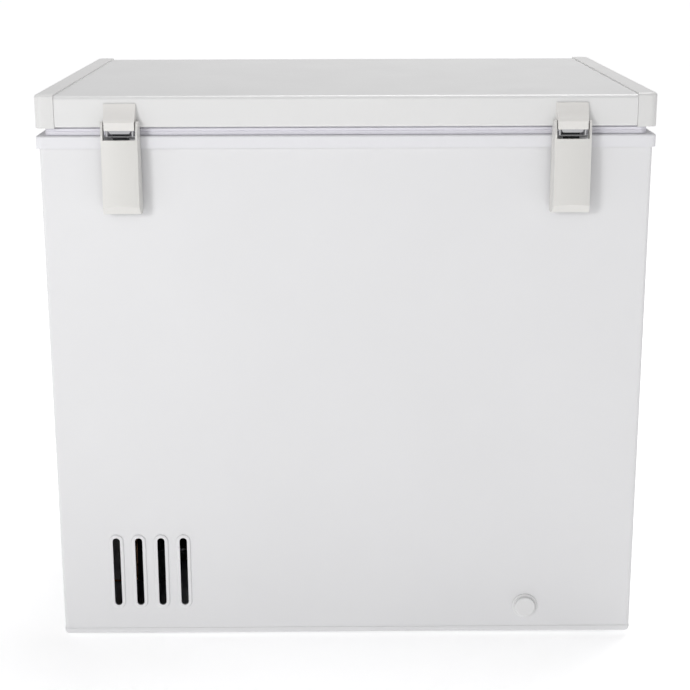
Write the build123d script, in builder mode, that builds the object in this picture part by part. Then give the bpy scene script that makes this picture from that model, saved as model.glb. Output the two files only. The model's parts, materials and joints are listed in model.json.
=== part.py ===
"""Chest freezer with a thick insulated cabinet, a hinged lid and two draw latches.

Millimetres, +Z up. The origin is on the floor, under the middle of the overall size.
+X runs to the right of someone who stands at the front, and +Y runs to the back.
"""

import os
from math import cos, hypot, radians, sin

from build123d import *

os.makedirs("parts", exist_ok=True)

# ---- driving dimensions -------------------------------------------------------------------

# Lid, and the planes that it sets
LID_WIDTH = 933.0
LID_DEPTH = 664.0
LID_TOP = 885.0
LID_BOTTOM = 838.7
LID_FRONT = -LID_DEPTH / 2
LID_REAR = LID_DEPTH / 2
LID_SKIN = 1.0
PROUD = 28.0  # the latches at the front and the hinges at the back stand out this far

# Lid end caps
CAP_WIDTH = 30.0
CAP_WALL = 3.0
CAP_TOP = LID_TOP + 2.5
CAP_BOTTOM = LID_BOTTOM - 1.5
CAP_FRONT = LID_FRONT - 1.0
CAP_REAR = LID_REAR + 1.5
CAP_CORNER = 12.0
CAP_EDGE = 4.5

# Top collar of the cabinet
COLLAR_TOP = 825.4
COLLAR_BOTTOM = 806.3
COLLAR_HALF = 467.4
COLLAR_FRONT = LID_FRONT + 2.8
COLLAR_REAR = 331.2
COLLAR_WALL = 2.5
COLLAR_CORNER = 9.0

# Outer cabinet
BODY_HALF = 463.0
BODY_FRONT = LID_FRONT + 7.5
BODY_REAR = 327.0
BODY_BOTTOM = 8.0
BODY_TOP = 818.0
SHEET = 1.0
BODY_CORNER = 6.0
BODY_HEM = 5.0

# Storage space and its liner
CAVITY_HALF_X = 357.0
CAVITY_HALF_Y = 222.5
CAVITY_FLOOR = 130.0
STEP_TOP = 315.0
STEP_X = -185.0
CAVITY_CORNER = 30.0
LEDGE = 12.0
LEDGE_Z = 776.0

# Compressor bay at the lower left
BAY_RIGHT = -245.0
BAY_TOP = 245.0

# Air slots in the front
SLOT_COUNT = 4
SLOT_PITCH = 36.0
SLOT_FIRST_X = -372.7
SLOT_WIDTH = 12.0
SLOT_LENGTH = 117.0
SLOT_Z = 118.6
SLOT_RIM = 5.5
SLOT_RIM_PROUD = 2.2

# Drain at the lower right
DRAIN_X = 290.0
DRAIN_Y = -150.0
DRAIN_Z = 55.0
DRAIN_BORE = 8.0
DRAIN_PIPE = 10.0

# Hinges
HINGE_X = 290.0
HINGE_Z = 832.0
HINGE_R = 9.0
HINGE_Y = LID_REAR + PROUD - HINGE_R
HINGE_HALF = 30.0
PIN_R = 4.0

# Latches
LATCH_X = 338.0
PIVOT_Y = LID_FRONT - 9.5
PIVOT_Z = 842.5
BAIL_PIN_Y = PIVOT_Y - 0.4
BAIL_PIN_Z = PIVOT_Z + 4.0
BAR_Z = 826.0

# Clearances
RUNNING = 0.05
GAP = 0.3


# ---- helpers ------------------------------------------------------------------------------


def save(piece, name):
    """Label a finished piece and write it to its own STEP file."""
    piece.part.label = name
    export_step(piece.part, f"parts/{name}.step")


def slab(low, high, mode=Mode.ADD):
    """Add a box between two corners to the part in hand, or cut it away."""
    size = [b - a for a, b in zip(low, high)]
    middle = tuple((a + b) / 2 for a, b in zip(low, high))
    with Locations(middle):
        Box(*size, mode=mode)


def rod(centre, radius, length, direction, mode=Mode.ADD):
    """Add a cylinder that starts at a point and runs along a direction."""
    with Locations(Plane(origin=centre, z_dir=direction).location):
        Cylinder(radius, length, align=(Align.CENTER, Align.CENTER, Align.MIN), mode=mode)


def outline(points):
    """Fill a closed straight-sided outline in the sketch in hand."""
    Polygon(*points, align=None)


def across(x):
    """Plane across the object at x, whose own axes are Y and Z."""
    return Plane.YZ.offset(x)


def facing_front(y):
    """Plane at y that faces the front, whose own axes are X and Z."""
    return Plane.XZ.offset(-y)


def tube(route, radius, bend):
    """Round bar along straight runs joined by tangent arcs."""
    with BuildPart() as piece:
        with BuildLine() as path:
            FilletPolyline(*route, radius=bend)
        with BuildSketch(path.line ^ 0):
            Circle(radius)
        sweep(path=path.line)
    return piece


def screws(places, direction, head_r, head_t, shank_r, shank_l):
    """Pan-head screws whose heads stand on the given points, and whose shanks run inwards."""
    inwards = tuple(-d for d in direction)
    with BuildPart() as piece:
        for place in places:
            rod(place, head_r, head_t, direction)
            rod(place, shank_r, shank_l, inwards)
    return piece


def cut_holes(places, direction, radius, depth):
    """Cut a round hole at each place, centred on it and running both ways along a direction."""
    for place in places:
        start = tuple(p - d * depth for p, d in zip(place, direction))
        rod(start, radius, 2 * depth, direction, mode=Mode.SUBTRACT)



# ---- shared places ------------------------------------------------------------------------

slot_places = [(SLOT_FIRST_X + SLOT_PITCH * i, SLOT_Z) for i in range(SLOT_COUNT)]

foot_places = [(x, y) for x in (-400.0, 400.0) for y in (BODY_FRONT + 60.0, BODY_REAR - 60.0)]

CATCH_SCREW_Z = 772.0
CATCH_T = 2.0
catch_screw_places = [
    (side * LATCH_X + dx, BODY_FRONT - CATCH_T, CATCH_SCREW_Z)
    for side in (-1, 1)
    for dx in (-9.0, 9.0)
]

LEAF_T = 2.5
hinge_body_screw_places = [
    (side * HINGE_X + dx, BODY_REAR + LEAF_T, z)
    for side in (-1, 1)
    for dx in (-20.0, 20.0)
    for z in (748.0, 778.0)
]
hinge_lid_screw_places = [
    (side * HINGE_X + dx, LID_REAR + LEAF_T, 868.0) for side in (-1, 1) for dx in (-20.0, 20.0)
]

GRILLE_LEFT, GRILLE_RIGHT = -458.0, BAY_RIGHT - 5.0
GRILLE_LOW, GRILLE_HIGH = 20.0, 240.0
GRILLE_T = 1.5
grille_screw_places = [
    (x, BODY_REAR + GRILLE_T, z)
    for x in (GRILLE_LEFT + 6.0, GRILLE_RIGHT - 6.0)
    for z in (GRILLE_LOW + 8.0, GRILLE_HIGH - 8.0)
]
KNOB_X, KNOB_Z, KNOB_R = -300.0, 205.0, 17.0
GLAND_X, GLAND_Z, GLAND_BORE = -425.0, 48.0, 4.5

# ---- cabinet ------------------------------------------------------------------------------

BEAD_LOW, BEAD_HIGH, BEAD_PROUD = 14.5, 18.5, 0.6


def wrapper_block(grow, low, high):
    """Block as wide and deep as the wrapper, grown outwards, with its front corners rounded."""
    with BuildPart() as block:
        slab((-BODY_HALF - grow, BODY_FRONT - grow, low), (BODY_HALF + grow, BODY_REAR, high))
        corners = block.edges().filter_by(Axis.Z).group_by(Axis.Y)[0]
        fillet(corners, radius=BODY_CORNER + grow)
    return block.part


# Bead rolled into the wrapper just above its hem
with BuildPart() as bead:
    add(wrapper_block(BEAD_PROUD, BEAD_LOW, BEAD_HIGH))
    add(wrapper_block(-SHEET / 2, BEAD_LOW - 1, BEAD_HIGH + 1), mode=Mode.SUBTRACT)

# Outer wrapper: one sheet round the front and sides, with a hem under it
with BuildPart() as cabinet_wrapper:
    slab((-BODY_HALF, BODY_FRONT, BODY_BOTTOM), (BODY_HALF, BODY_REAR, BODY_TOP))
    front_corners = cabinet_wrapper.edges().filter_by(Axis.Z).group_by(Axis.Y)[0]
    fillet(front_corners, radius=BODY_CORNER)
    hem = cabinet_wrapper.faces().sort_by(Axis.Z)[0].edges().sort_by(Axis.Y)[:-1]
    fillet(hem, radius=BODY_HEM)
    open_sides = [
        cabinet_wrapper.faces().sort_by(Axis.Z)[-1],
        cabinet_wrapper.faces().sort_by(Axis.Y)[-1],
    ]
    offset(amount=-SHEET, openings=open_sides)
    slab(
        (-BODY_HALF + 22, BODY_FRONT + 22, BODY_BOTTOM - 1),
        (BODY_HALF - 22, BODY_REAR + 1, BODY_BOTTOM + 3),
        mode=Mode.SUBTRACT,
    )
    with BuildSketch(facing_front(BODY_FRONT + SHEET / 2)):
        with Locations(slot_places):
            SlotOverall(SLOT_LENGTH + 2 * SLOT_RIM, SLOT_WIDTH + 2 * SLOT_RIM, rotation=90)
    extrude(amount=SLOT_RIM_PROUD + SHEET / 2)
    rim_edges = cabinet_wrapper.faces().sort_by(Axis.Y)[:SLOT_COUNT]
    fillet(rim_edges.edges(), radius=SLOT_RIM_PROUD * 0.9)
    with BuildSketch(facing_front(BODY_FRONT - 10)):
        with Locations(slot_places):
            SlotOverall(SLOT_LENGTH, SLOT_WIDTH, rotation=90)
    extrude(amount=-20, mode=Mode.SUBTRACT)
    cut_holes(catch_screw_places, (0, 1, 0), 2.1, 9)
    rod((DRAIN_X, BODY_FRONT - 5, DRAIN_Z), DRAIN_PIPE + 0.2, 12, (0, 1, 0), mode=Mode.SUBTRACT)
    add(bead.part)
save(cabinet_wrapper, "cabinet_wrapper")

# Rear panel: flat sheet with flanges that lap inside the wrapper, down to the base panel
INNER_HALF = BODY_HALF - SHEET
REAR_LOW = 12.0
BASE_Z = BODY_BOTTOM + SHEET
with BuildPart() as rear_panel:
    slab(
        (-INNER_HALF + GAP, BODY_REAR - SHEET, REAR_LOW),
        (INNER_HALF - GAP, BODY_REAR, BODY_TOP),
    )
    slab(
        (-INNER_HALF + BODY_HEM, BODY_REAR - SHEET, BASE_Z),
        (INNER_HALF - BODY_HEM, BODY_REAR, REAR_LOW + 1),
    )
    for side in (-1, 1):
        edge = side * (INNER_HALF - GAP)
        slab(
            (min(edge, edge - side), BODY_REAR - 14, REAR_LOW),
            (max(edge, edge - side), BODY_REAR, BODY_TOP),
        )
    slab(
        (GRILLE_LEFT + 12, BODY_REAR - 3, GRILLE_LOW + 14),
        (GRILLE_RIGHT - 12, BODY_REAR + 3, GRILLE_HIGH - 14),
        mode=Mode.SUBTRACT,
    )
    cut_holes(hinge_body_screw_places, (0, 1, 0), 2.1, 9)
    cut_holes(grille_screw_places, (0, 1, 0), 2.1, 6)
save(rear_panel, "rear_panel")

# Base panel: bottom sheet that lies on the hem
with BuildPart() as base_panel:
    slab(
        (-INNER_HALF + BODY_HEM, BODY_FRONT + SHEET + BODY_HEM, BASE_Z),
        (INNER_HALF - BODY_HEM, BODY_REAR - SHEET - GAP, BASE_Z + SHEET),
    )
    cut_holes([(x, y, BASE_Z) for x, y in foot_places], (0, 0, 1), 3.2, 4)
save(base_panel, "base_panel")

# Feet: four rubber pads, each held by one bolt
with BuildPart() as feet:
    for x, y in foot_places:
        rod((x, y, 0), 17, BODY_BOTTOM + SHEET, (0, 0, 1))
        rod((x, y, -1), 7, 6, (0, 0, 1), mode=Mode.SUBTRACT)
        rod((x, y, 4), 3.2, 9, (0, 0, 1), mode=Mode.SUBTRACT)
    fillet(feet.edges().group_by(Axis.Z)[0].filter_by(lambda e: e.radius > 16), radius=1.2)
save(feet, "feet")

with BuildPart() as foot_bolts:
    for x, y in foot_places:
        with BuildSketch(Plane.XY.offset(1.5)):
            with Locations((x, y)):
                RegularPolygon(5.5, 6)
        extrude(amount=3.5)
        rod((x, y, 4.5), 3.0, 12, (0, 0, 1))
save(foot_bolts, "foot_bolts")

# Bay liner: bent sheet that walls the compressor bay off from the foam
BAY_FRONT = BODY_FRONT + BODY_HEM
BAY_BACK = BODY_REAR - SHEET - GAP
BAY_LEFT = -INNER_HALF + BODY_CORNER
BAY_FLOOR = BODY_BOTTOM + 2 * SHEET
with BuildPart() as bay_liner:
    slab((BAY_RIGHT - SHEET, BAY_FRONT, BAY_FLOOR), (BAY_RIGHT, BAY_BACK, BAY_TOP))
    slab((BAY_LEFT, BAY_FRONT, BAY_TOP - SHEET), (BAY_RIGHT, BAY_BACK, BAY_TOP))
    for x, y in ((-420.0, 229.5), (-364.0, -150.0)):
        rod((x, y, BAY_TOP - 5), 4.6, 10, (0, 0, 1), mode=Mode.SUBTRACT)
save(bay_liner, "bay_liner")


def cavity(grow, top):
    """Storage space with its step and the basket ledge, grown on every wall."""
    with BuildPart() as space:
        slab(
            (-CAVITY_HALF_X - grow, -CAVITY_HALF_Y - grow, STEP_TOP - grow),
            (CAVITY_HALF_X + grow, CAVITY_HALF_Y + grow, top),
        )
        fillet(space.edges().filter_by(Axis.Z), radius=CAVITY_CORNER + grow)
    with BuildPart() as deep:
        slab(
            (STEP_X - grow, -CAVITY_HALF_Y - grow, CAVITY_FLOOR - grow),
            (CAVITY_HALF_X + grow, CAVITY_HALF_Y + grow, top),
        )
        fillet(deep.edges().filter_by(Axis.Z), radius=CAVITY_CORNER + grow)
        fillet(deep.edges().group_by(Axis.Z)[0], radius=12 + grow)
    with BuildPart() as mouth:
        slab(
            (-CAVITY_HALF_X - LEDGE - grow, -CAVITY_HALF_Y - LEDGE - grow, LEDGE_Z - grow),
            (CAVITY_HALF_X + LEDGE + grow, CAVITY_HALF_Y + LEDGE + grow, top),
        )
        fillet(mouth.edges().filter_by(Axis.Z), radius=CAVITY_CORNER + LEDGE + grow)
    with BuildPart() as whole:
        add(space.part)
        add(deep.part)
        add(mouth.part)
    return whole.part


LINER_T = 1.0
inside = cavity(0, BODY_TOP + 10)
outside = cavity(LINER_T, BODY_TOP)

# Inner liner: aluminium tub with a top flange under the collar
with BuildPart() as inner_liner:
    add(outside)
    rim_x = CAVITY_HALF_X + LEDGE + 18
    rim_y = CAVITY_HALF_Y + LEDGE + 18
    slab((-rim_x, -rim_y, BODY_TOP), (rim_x, rim_y, BODY_TOP + LINER_T))
    fillet(
        inner_liner.edges().filter_by(Axis.Z).filter_by(lambda e: e.center().Z > BODY_TOP),
        radius=CAVITY_CORNER + LEDGE + 18,
    )
    add(inside, mode=Mode.SUBTRACT)
    rod((DRAIN_X, DRAIN_Y, CAVITY_FLOOR - 5), DRAIN_PIPE + 0.2, 9, (0, 0, 1), mode=Mode.SUBTRACT)
save(inner_liner, "inner_liner")

# Cold circuit tubes that lie in the foam
EVAPORATOR_R = 4.0
TURNS = 7
evaporator_route = [(-364.0, -150.0, 235.0)]
for turn in range(TURNS):
    z = 350.0 + 58.0 * turn
    corners = [(-364, -229.5), (364, -229.5), (364, 229.5), (-364, 229.5)]
    if turn == 0:
        evaporator_route.append((-364.0, -150.0, z))
    evaporator_route += [(x, y, z) for x, y in corners]
evaporator_route[-1] = (-420.0, 229.5, evaporator_route[-1][2])
evaporator_route.append((-420.0, 229.5, 235.0))
evaporator_coil = tube(evaporator_route, EVAPORATOR_R, 24)
save(evaporator_coil, "evaporator_coil")

CONDENSER_R = 2.5
CONDENSER_Y = BODY_FRONT + SHEET + 4.5
condenser_xz = [(-432.0, 251.0), (-432.0, 300.0)]
for run in range(6):
    z = 300.0 + 76.0 * run
    ends = (-400.0, 440.0) if run % 2 == 0 else (440.0, -400.0)
    condenser_xz += [(ends[0], z), (ends[1], z)] if run else [(ends[1], z)]
condenser_route = [(x, CONDENSER_Y, z) for x, z in condenser_xz]
condenser_coil = tube(condenser_route, CONDENSER_R, 22)
save(condenser_coil, "condenser_coil")

# Drain tube from the storage floor to the front
with BuildPart() as drain_tube:
    drain_route = [
        (DRAIN_X, DRAIN_Y, CAVITY_FLOOR),
        (DRAIN_X, DRAIN_Y, DRAIN_Z),
        (DRAIN_X, BODY_FRONT, DRAIN_Z),
    ]
    with BuildLine() as drain_path:
        FilletPolyline(*drain_route, radius=30)
    with BuildSketch(drain_path.line ^ 0):
        Circle(DRAIN_PIPE)
        Circle(DRAIN_BORE, mode=Mode.SUBTRACT)
    sweep(path=drain_path.line)
save(drain_tube, "drain_tube")
drain_core = tube(drain_route, DRAIN_PIPE, 30)

# Foam between the wrapper, the liner and the bay
with BuildPart() as cabinet_foam:
    slab(
        (-INNER_HALF + 2, BODY_FRONT + SHEET + 0.1, BAY_FLOOR),
        (INNER_HALF - 2, BODY_REAR - SHEET - 0.1, BODY_TOP),
    )
    fillet(cabinet_foam.edges().filter_by(Axis.Z).group_by(Axis.Y)[0], radius=BODY_CORNER - 1)
    hem_edges = cabinet_foam.faces().sort_by(Axis.Z)[0].edges().sort_by(Axis.Y)[:-1]
    fillet(hem_edges, radius=BODY_HEM - 0.9)
    slab(
        (-BODY_HALF, BODY_FRONT, BODY_BOTTOM),
        (BAY_RIGHT, BODY_REAR, BAY_TOP),
        mode=Mode.SUBTRACT,
    )
    add(outside, mode=Mode.SUBTRACT)
    add(evaporator_coil.part, mode=Mode.SUBTRACT)
    add(condenser_coil.part, mode=Mode.SUBTRACT)
    add(drain_core.part, mode=Mode.SUBTRACT)
    cut_holes(catch_screw_places, (0, 1, 0), 2.1, 15)
    cut_holes(hinge_body_screw_places, (0, 1, 0), 2.1, 15)
    cut_holes([(x, y, BAY_FLOOR) for x, y in foot_places if x > 0], (0, 0, 1), 3.2, 9)
save(cabinet_foam, "cabinet_foam")

# Collar: moulded frame over the top of the walls
with BuildPart() as top_collar:
    slab((-COLLAR_HALF, COLLAR_FRONT, COLLAR_BOTTOM), (COLLAR_HALF, COLLAR_REAR, COLLAR_TOP))
    fillet(top_collar.edges().filter_by(Axis.Z), radius=COLLAR_CORNER)
    fillet(top_collar.edges().group_by(Axis.Z)[-1], radius=3)
    collar_under = BODY_TOP + LINER_T + GAP
    with BuildSketch(Plane.XY.offset(COLLAR_BOTTOM - 1)):
        with Locations((0, (COLLAR_FRONT + COLLAR_REAR) / 2)):
            RectangleRounded(
                2 * (COLLAR_HALF - COLLAR_WALL),
                COLLAR_REAR - COLLAR_FRONT - 2 * COLLAR_WALL,
                COLLAR_CORNER - COLLAR_WALL - 1,
            )
    extrude(amount=collar_under - COLLAR_BOTTOM + 1, mode=Mode.SUBTRACT)
    lip_x = CAVITY_HALF_X + LEDGE - GAP
    lip_y = CAVITY_HALF_Y + LEDGE - GAP
    with BuildSketch(Plane.XY.offset(BODY_TOP - 12)):
        RectangleRounded(2 * lip_x, 2 * lip_y, CAVITY_CORNER + LEDGE - GAP)
    extrude(amount=COLLAR_TOP - BODY_TOP + 12)
    with BuildSketch(Plane.XY.offset(BODY_TOP - 20)):
        RectangleRounded(2 * lip_x - 4, 2 * lip_y - 4, CAVITY_CORNER + LEDGE - GAP - 2)
    extrude(amount=40, mode=Mode.SUBTRACT)
save(top_collar, "top_collar")

# ---- compressor bay -----------------------------------------------------------------------

COMP_X, COMP_Y = -350.0, 70.0
COMP_PLATE_Z = BAY_FLOOR + 14.0
grommet_places = [
    (COMP_X + dx, COMP_Y + dy, BAY_FLOOR) for dx in (-50.0, 50.0) for dy in (-85.0, 85.0)
]

# Compressor: welded shell on a pressed bracket
with BuildPart() as compressor:
    slab(
        (COMP_X - 66, COMP_Y - 100, COMP_PLATE_Z),
        (COMP_X + 66, COMP_Y + 100, COMP_PLATE_Z + 2.5),
    )
    fillet(compressor.edges().filter_by(Axis.Z), radius=14)
    with BuildSketch(Plane.XY.offset(COMP_PLATE_Z + 2.5)):
        with Locations((COMP_X, COMP_Y)):
            Ellipse(58, 82)
    extrude(amount=128)
    fillet(compressor.edges().group_by(Axis.Z)[-1], radius=34)
    with BuildSketch(Plane.XY.offset(COMP_PLATE_Z + 66)):
        with Locations((COMP_X, COMP_Y)):
            Ellipse(60.5, 84.5)
    extrude(amount=6)
    rod((COMP_X + 30, COMP_Y + 60, COMP_PLATE_Z + 90), 4, 45, (0, 1, 0))
    rod((COMP_X - 30, COMP_Y + 60, COMP_PLATE_Z + 90), 3, 45, (0, 1, 0))
    for place in grommet_places:
        rod((place[0], place[1], COMP_PLATE_Z - 1), 4.2, 6, (0, 0, 1), mode=Mode.SUBTRACT)
save(compressor, "compressor")

with BuildPart() as compressor_grommets:
    for x, y, z in grommet_places:
        rod((x, y, z), 9, COMP_PLATE_Z - z, (0, 0, 1))
        rod((x, y, z - 1), 4.2, COMP_PLATE_Z - z + 2, (0, 0, 1), mode=Mode.SUBTRACT)
save(compressor_grommets, "compressor_grommets")

bolt_places = [(x, y, COMP_PLATE_Z + 2.5) for x, y, z in grommet_places]
bolt_reach = COMP_PLATE_Z + 2.5 - BAY_FLOOR
compressor_bolts = screws(bolt_places, (0, 0, 1), 7, 4, 4, bolt_reach)
save(compressor_bolts, "compressor_bolts")

# Control electronics: a box with cooling fins, in front of the compressor
MODULE_LOW = (-400.0, -120.0, BAY_FLOOR)
MODULE_HIGH = (-310.0, -50.0, BAY_FLOOR + 58.0)
with BuildPart() as electronics_module:
    slab(MODULE_LOW, MODULE_HIGH)
    fillet(electronics_module.edges().filter_by(Axis.Z), radius=5)
    for fin in range(9):
        fin_x = MODULE_LOW[0] + 9 + fin * 9
        slab(
            (fin_x - 1, MODULE_LOW[1] + 6, MODULE_HIGH[2]),
            (fin_x + 1, MODULE_HIGH[1] - 6, MODULE_HIGH[2] + 14),
        )
save(electronics_module, "electronics_module")

# Pipes in the bay
SUCTION_R = 4.0
suction_route = [
    (COMP_X + 30, COMP_Y + 105, COMP_PLATE_Z + 90),
    (COMP_X + 30, 229.5, COMP_PLATE_Z + 90),
    (-420.0, 229.5, COMP_PLATE_Z + 90),
    (-420.0, 229.5, 235.0),
]
suction_tube = tube(suction_route, SUCTION_R, 20)
save(suction_tube, "suction_tube")

DISCHARGE_R = 3.0
discharge_route = [
    (COMP_X - 30, COMP_Y + 105, COMP_PLATE_Z + 90),
    (COMP_X - 30, COMP_Y + 140, COMP_PLATE_Z + 90),
    (-440.0, COMP_Y + 140, COMP_PLATE_Z + 90),
    (-440.0, COMP_Y + 140, 190.0),
    (-440.0, -160.0, 190.0),
    (-440.0, -160.0, 150.0),
]
discharge_tube = tube(discharge_route, DISCHARGE_R, 14)
save(discharge_tube, "discharge_tube")

DRIER_R = 9.5
with BuildPart() as filter_drier:
    rod((-440.0, -160.0, 60.0), DRIER_R, 80, (0, 0, 1))
    fillet(filter_drier.edges().filter_by(GeomType.CIRCLE), radius=7)
    rod((-440.0, -160.0, 136.0), 4, 14, (0, 0, 1))
    rod((-440.0, -160.0, 50.0), 2.5, 14, (0, 0, 1))
save(filter_drier, "filter_drier")

capillary_route = [
    (-440.0, -160.0, 50.0),
    (-440.0, -160.0, 30.0),
    (-364.0, -160.0, 30.0),
    (-364.0, -150.0, 90.0),
    (-364.0, -150.0, 235.0),
]
capillary_tube = tube(capillary_route, 1.5, 7)
save(capillary_tube, "capillary_tube")

# Service grille on the back of the bay, with the thermostat and the cable gland on it
with BuildPart() as service_grille:
    slab(
        (GRILLE_LEFT, BODY_REAR, GRILLE_LOW),
        (GRILLE_RIGHT, BODY_REAR + GRILLE_T, GRILLE_HIGH),
    )
    fillet(service_grille.edges().filter_by(Axis.Y), radius=8)
    grille_middle = (GRILLE_LEFT + GRILLE_RIGHT) / 2
    with BuildSketch(facing_front(BODY_REAR + 10)):
        with Locations((grille_middle, (GRILLE_LOW + GRILLE_HIGH) / 2 - 8)):
            with GridLocations(0, 13, 1, 8):
                SlotOverall(140, 5)
    extrude(amount=20, mode=Mode.SUBTRACT)
    rod((KNOB_X, BODY_REAR - 5, KNOB_Z), 5.2, 12, (0, 1, 0), mode=Mode.SUBTRACT)
    rod((GLAND_X, BODY_REAR - 5, GLAND_Z), 8.2, 12, (0, 1, 0), mode=Mode.SUBTRACT)
    cut_holes(grille_screw_places, (0, 1, 0), 2.1, 6)
save(service_grille, "service_grille")

grille_screws = screws(grille_screw_places, (0, 1, 0), 4, 2.2, 2.0, 6)
save(grille_screws, "grille_screws")

with BuildPart() as thermostat_body:
    slab(
        (KNOB_X - 20, BODY_REAR - 38, KNOB_Z - 18),
        (KNOB_X + 20, BODY_REAR - 4, KNOB_Z + 18),
    )
    fillet(thermostat_body.edges().filter_by(Axis.Y), radius=4)
    rod((KNOB_X, BODY_REAR - 5, KNOB_Z), 5.0, 6.5, (0, 1, 0))
    rod((KNOB_X, BODY_REAR, KNOB_Z), 3.0, 12, (0, 1, 0))
save(thermostat_body, "thermostat_body")

with BuildPart() as thermostat_knob:
    rod((KNOB_X, BODY_REAR + GRILLE_T + 0.6, KNOB_Z), KNOB_R, 14, (0, 1, 0))
    fillet(thermostat_knob.edges().group_by(Axis.Y)[-1], radius=2)
    with BuildSketch(facing_front(BODY_REAR + 30)):
        with Locations((KNOB_X, KNOB_Z)):
            with PolarLocations(KNOB_R + 0.8, 18):
                Circle(1.8)
    extrude(amount=28, mode=Mode.SUBTRACT)
    slab(
        (KNOB_X - 1, BODY_REAR + 14, KNOB_Z + 4),
        (KNOB_X + 1, BODY_REAR + 20, KNOB_Z + 15),
        mode=Mode.SUBTRACT,
    )
    rod((KNOB_X, BODY_REAR, KNOB_Z), 3.0 + RUNNING, 12.4, (0, 1, 0), mode=Mode.SUBTRACT)
save(thermostat_knob, "thermostat_knob")

with BuildPart() as cable_gland:
    rod((GLAND_X, BODY_REAR - 10, GLAND_Z), 8.0, 14, (0, 1, 0))
    with BuildSketch(facing_front(BODY_REAR + GRILLE_T)):
        with Locations((GLAND_X, GLAND_Z)):
            RegularPolygon(12, 6)
    extrude(amount=-6)
    rod((GLAND_X, BODY_REAR + GRILLE_T + 6, GLAND_Z), 10, 10, (0, 1, 0))
    fillet(cable_gland.edges().group_by(Axis.Y)[-1], radius=3)
    rod((GLAND_X, BODY_REAR - 20, GLAND_Z), GLAND_BORE, 60, (0, 1, 0), mode=Mode.SUBTRACT)
save(cable_gland, "cable_gland")

with BuildPart() as gland_nut:
    with BuildSketch(facing_front(BODY_REAR)):
        with Locations((GLAND_X, GLAND_Z)):
            RegularPolygon(12, 6)
            Circle(8.02, mode=Mode.SUBTRACT)
    extrude(amount=4)
save(gland_nut, "gland_nut")

# ---- drain fittings -----------------------------------------------------------------------

BEZEL_R, BEZEL_T = 20.5, 2.2
CAP_R, CAP_T = 16.5, 6.0
with BuildPart() as drain_bezel:
    rod((DRAIN_X, BODY_FRONT, DRAIN_Z), BEZEL_R, BEZEL_T, (0, -1, 0))
    fillet(drain_bezel.edges().group_by(Axis.Y)[0], radius=1.6)
    rod((DRAIN_X, BODY_FRONT - 5, DRAIN_Z), DRAIN_BORE, 10, (0, 1, 0), mode=Mode.SUBTRACT)
save(drain_bezel, "drain_bezel")

with BuildPart() as drain_cap:
    rod((DRAIN_X, BODY_FRONT - BEZEL_T, DRAIN_Z), CAP_R, CAP_T, (0, -1, 0))
    fillet(drain_cap.edges().group_by(Axis.Y)[0], radius=2.2)
    rod((DRAIN_X, BODY_FRONT - BEZEL_T, DRAIN_Z), DRAIN_BORE - GAP, 16, (0, 1, 0))
save(drain_cap, "drain_cap")

with BuildPart() as floor_drain_plug:
    rod((DRAIN_X, DRAIN_Y, CAVITY_FLOOR), 15, 3.5, (0, 0, 1))
    fillet(floor_drain_plug.edges().group_by(Axis.Z)[-1], radius=1.5)
    rod((DRAIN_X, DRAIN_Y, CAVITY_FLOOR), DRAIN_BORE - GAP, 14, (0, 0, -1))
    slab(
        (DRAIN_X - 1.5, DRAIN_Y - 8, CAVITY_FLOOR + 3),
        (DRAIN_X + 1.5, DRAIN_Y + 8, CAVITY_FLOOR + 13),
    )
save(floor_drain_plug, "floor_drain_plug")

# ---- lid ----------------------------------------------------------------------------------

SKIN_HALF = LID_WIDTH / 2 - CAP_WIDTH
LID_EDGE = 6.0
PLUG_HALF_X = CAVITY_HALF_X - 14.0
PLUG_HALF_Y = CAVITY_HALF_Y - 12.0
PLUG_BOTTOM = 794.0
LID_LINER_T = 2.0

# Lid skin: sheet folded over the top, front and back, with a hem underneath
with BuildPart() as lid_skin:
    slab((-SKIN_HALF, LID_FRONT, LID_BOTTOM), (SKIN_HALF, LID_REAR, LID_TOP))
    long_edges = lid_skin.edges().filter_by(Axis.X)
    fillet(long_edges.group_by(Axis.Z)[-1], radius=LID_EDGE)
    fillet(lid_skin.edges().filter_by(Axis.X).group_by(Axis.Z)[0], radius=2.5)
    ends = [lid_skin.faces().sort_by(Axis.X)[0], lid_skin.faces().sort_by(Axis.X)[-1]]
    offset(amount=-LID_SKIN, openings=ends)
    slab(
        (-SKIN_HALF, LID_FRONT + 16, LID_BOTTOM - 1),
        (SKIN_HALF, LID_REAR - 16, LID_BOTTOM + 3),
        mode=Mode.SUBTRACT,
    )
    cut_holes(hinge_lid_screw_places, (0, 1, 0), 2.1, 6)
save(lid_skin, "lid_skin")


def cap_block(side, shrink):
    """Outer block of an end cap, or the hollow inside it when shrunk by the wall."""
    inner = side * (SKIN_HALF + GAP - shrink)
    outer = side * (LID_WIDTH / 2 - shrink)
    low_x, high_x = sorted((inner, outer))
    with BuildPart() as block:
        slab(
            (low_x, CAP_FRONT + shrink, CAP_BOTTOM + shrink),
            (high_x, CAP_REAR - shrink, CAP_TOP - shrink),
        )
        corners = block.edges().filter_by(Axis.Z).sort_by(Axis.X, reverse=side > 0)[:2]
        fillet(corners, radius=CAP_CORNER - shrink)
        rims = block.faces().sort_by(Axis.Z)[-1].edges()
        fillet([e for e in rims if abs(e.center().X - inner) > 0.5], radius=CAP_EDGE - shrink)
    return block


def end_cap(side):
    """Moulded cap that closes one end of the lid and laps over its skin."""
    with BuildPart() as cap:
        add(cap_block(side, 0).part)
        add(cap_block(side, CAP_WALL).part, mode=Mode.SUBTRACT)
    return cap


for side, label in ((-1, "left"), (1, "right")):
    cap = end_cap(side)
    save(cap, f"lid_end_cap_{label}")

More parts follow.
